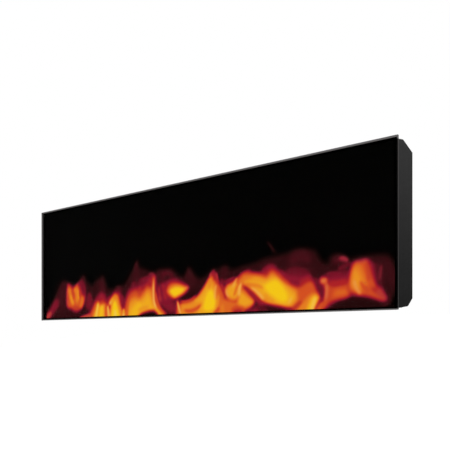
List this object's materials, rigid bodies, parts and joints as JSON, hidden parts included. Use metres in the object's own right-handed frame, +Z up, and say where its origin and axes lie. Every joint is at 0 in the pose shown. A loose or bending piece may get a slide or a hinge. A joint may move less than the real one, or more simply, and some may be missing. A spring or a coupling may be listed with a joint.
{
  "type": "electric fireplace",
  "caption": "Wide slim wall-hung electric fireplace: frameless smoked glass over a black steel housing, flickering flame screen, blower heater and wall bracket.",
  "frame": {"origin": "centre of the four wall bolts, on the wall plane behind the bracket", "axes": "+X to the right seen from the front, +Y into the wall, +Z up; the glass faces -Y"},
  "size_m": [1.83, 0.116, 0.505],
  "materials": {
    "smoked_glass": "brown-grey tinted, polished edges",
    "black_powder_coat": "matt, fine grain",
    "bond_tape": "matt foam",
    "black_steel": "matt",
    "screw_black": "black zinc",
    "flame_screen": "black acrylic, lit from behind in the lower half",
    "galvanised": "galvanised sheet",
    "mirror_petal": "polished",
    "plated_steel": "ground",
    "nylon": "natural nylon",
    "motor_can": "zinc plated",
    "aluminium": "mill finish",
    "circuit_board": "solder mask",
    "light_chip": "phosphor",
    "black_plastic": "moulded, fine texture",
    "component_plastic": "moulded",
    "insulator": "heat-proof moulding",
    "bumper_rubber": "soft"
  },
  "bodies": {
    "housing": {"front_glass": "smoked_glass", "glass_tape": "bond_tape", "glass_rail_top": "black_steel", "glass_rail_bottom": "black_steel", "housing_screws": "screw_black", "top_panel": "black_powder_coat", "back_panel": "black_powder_coat", "bottom_panel": "black_powder_coat", "side_cap_left": "black_powder_coat", "side_cap_right": "black_powder_coat", "flame_screen": "flame_screen", "screen_channel_top": "black_steel", "screen_channel_bottom": "black_steel", "partition_shelf": "galvanised", "flame_template": "black_steel", "rod_support": "galvanised", "rod_bush": "nylon", "motor_bracket_left": "galvanised", "motor_bracket_right": "galvanised", "flicker_motor_left": "motor_can", "flicker_motor_right": "motor_can", "motor_screws": "plated_steel", "led_rail": "aluminium", "led_board": "circuit_board", "led_chips": "light_chip", "duct_scroll": "galvanised", "duct_front_wall": "galvanised", "duct_end_left": "galvanised", "duct_end_right": "galvanised", "blower_bush": "nylon", "blower_motor": "motor_can", "heating_element": "aluminium", "element_blocks": "insulator", "thermal_cutout": "plated_steel", "heat_grille": "black_plastic", "grille_screws": "screw_black", "tact_switches": "component_plastic", "keypad_board": "circuit_board", "keypad_bracket": "galvanised", "switch_body": "black_plastic", "board_standoffs": "nylon", "power_board": "circuit_board", "board_components": "component_plastic", "mains_gland": "black_plastic", "gland_locknut": "black_plastic", "wall_bracket": "galvanised", "hanger_rail": "galvanised", "hanger_screws": "plated_steel", "wall_bumper_left": "bumper_rubber", "wall_bumper_right": "bumper_rubber"},
    "blower": {"blower_wheel": "aluminium", "blower_shaft": "plated_steel"},
    "left_rod": {"flicker_rod_left": "mirror_petal"},
    "right_rod": {"flicker_rod_right": "mirror_petal"},
    "rocker": {"switch_rocker": "black_plastic"},
    "flame_key": {"flame_button": "black_plastic"},
    "heat_key": {"heat_button": "black_plastic"},
    "timer_key": {"timer_button": "black_plastic"},
    "light_key": {"light_button": "black_plastic"}
  },
  "joints": [
    {"name": "blower_spin", "type": "hinge", "parent": "housing", "child": "blower", "pos_m": [0, -0.0455, 0.01], "axis": [1, 0, 0], "continuous": true},
    {"name": "left_rod_spin", "type": "hinge", "parent": "housing", "child": "left_rod", "pos_m": [-0.37, -0.05, -0.313], "axis": [1, 0, 0], "continuous": true},
    {"name": "right_rod_spin", "type": "hinge", "parent": "housing", "child": "right_rod", "pos_m": [0.37, -0.05, -0.313], "axis": [1, 0, 0], "continuous": true},
    {"name": "switch_rock", "type": "hinge", "parent": "housing", "child": "rocker", "pos_m": [0.774, -0.08, 0.134], "axis": [0, 1, 0], "range_deg": [0, 16]},
    {"name": "flame_press", "type": "slide", "parent": "housing", "child": "flame_key", "axis": [0, 0, -1], "range_m": [0, 0.0015], "stiffness_N_per_m": 500},
    {"name": "heat_press", "type": "slide", "parent": "housing", "child": "heat_key", "axis": [0, 0, -1], "range_m": [0, 0.0015], "stiffness_N_per_m": 500},
    {"name": "timer_press", "type": "slide", "parent": "housing", "child": "timer_key", "axis": [0, 0, -1], "range_m": [0, 0.0015], "stiffness_N_per_m": 500},
    {"name": "light_press", "type": "slide", "parent": "housing", "child": "light_key", "axis": [0, 0, -1], "range_m": [0, 0.0015], "stiffness_N_per_m": 500}
  ]
}
